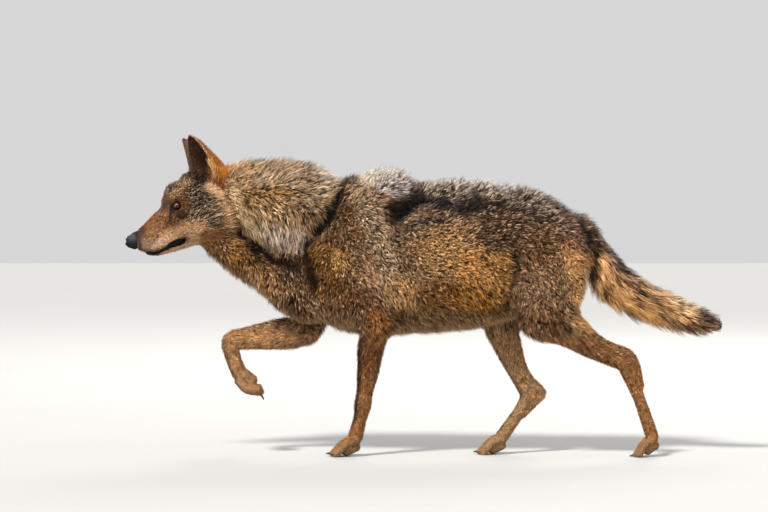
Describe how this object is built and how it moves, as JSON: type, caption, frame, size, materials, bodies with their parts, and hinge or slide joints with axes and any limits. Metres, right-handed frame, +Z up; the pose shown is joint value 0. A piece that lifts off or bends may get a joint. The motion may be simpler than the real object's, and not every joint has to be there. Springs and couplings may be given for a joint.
{
  "type": "wolf",
  "caption": "Life-size adult wolf in its tawny grey summer coat, walking with one forefoot lifted and its tail hanging behind, as a still display model.",
  "frame": {"origin": "on the floor under the centre of the wolf's bounding box", "axes": "+X towards the tail, so that the wolf faces -X, +Y to the wolf's right, +Z up"},
  "size_m": [1.4891, 0.2687, 0.8052],
  "materials": {
    "coat_grizzled": "long grizzled grey-brown fur, dark tipped",
    "coat_pale": "short pale fur",
    "coat_dark": "dark grizzled fur",
    "coat_tawny": "short tawny fur, darker down the front of the forelegs",
    "coat_ginger": "very short ginger fur, dark inside",
    "nose": "moist black nose leather",
    "claw": "dark horn",
    "eye": "wet amber eye with a dark pupil"
  },
  "bodies": {
    "root": {"head": "coat_dark", "lower_jaw": "coat_pale", "nose": "nose", "eye_left": "eye", "eye_right": "eye", "ear_left": "coat_ginger", "ear_right": "coat_ginger", "neck": "coat_grizzled", "chest": "coat_grizzled", "loin": "coat_grizzled", "rump": "coat_dark", "tail_base": "coat_tawny", "tail_tip": "coat_tawny", "foreleg_left": "coat_tawny", "foreleg_right": "coat_tawny", "thigh_left": "coat_tawny", "shank_left": "coat_tawny", "thigh_right": "coat_tawny", "shank_right": "coat_tawny", "forepaw_left": "coat_tawny", "claw_fore_left_1": "claw", "claw_fore_left_2": "claw", "claw_fore_left_3": "claw", "claw_fore_left_4": "claw", "forepaw_right": "coat_tawny", "claw_fore_right_1": "claw", "claw_fore_right_2": "claw", "claw_fore_right_3": "claw", "claw_fore_right_4": "claw", "hindpaw_left": "coat_tawny", "claw_hind_left_1": "claw", "claw_hind_left_2": "claw", "claw_hind_left_3": "claw", "claw_hind_left_4": "claw", "hindpaw_right": "coat_tawny", "claw_hind_right_1": "claw", "claw_hind_right_2": "claw", "claw_hind_right_3": "claw", "claw_hind_right_4": "claw"}
  },
  "joints": []
}
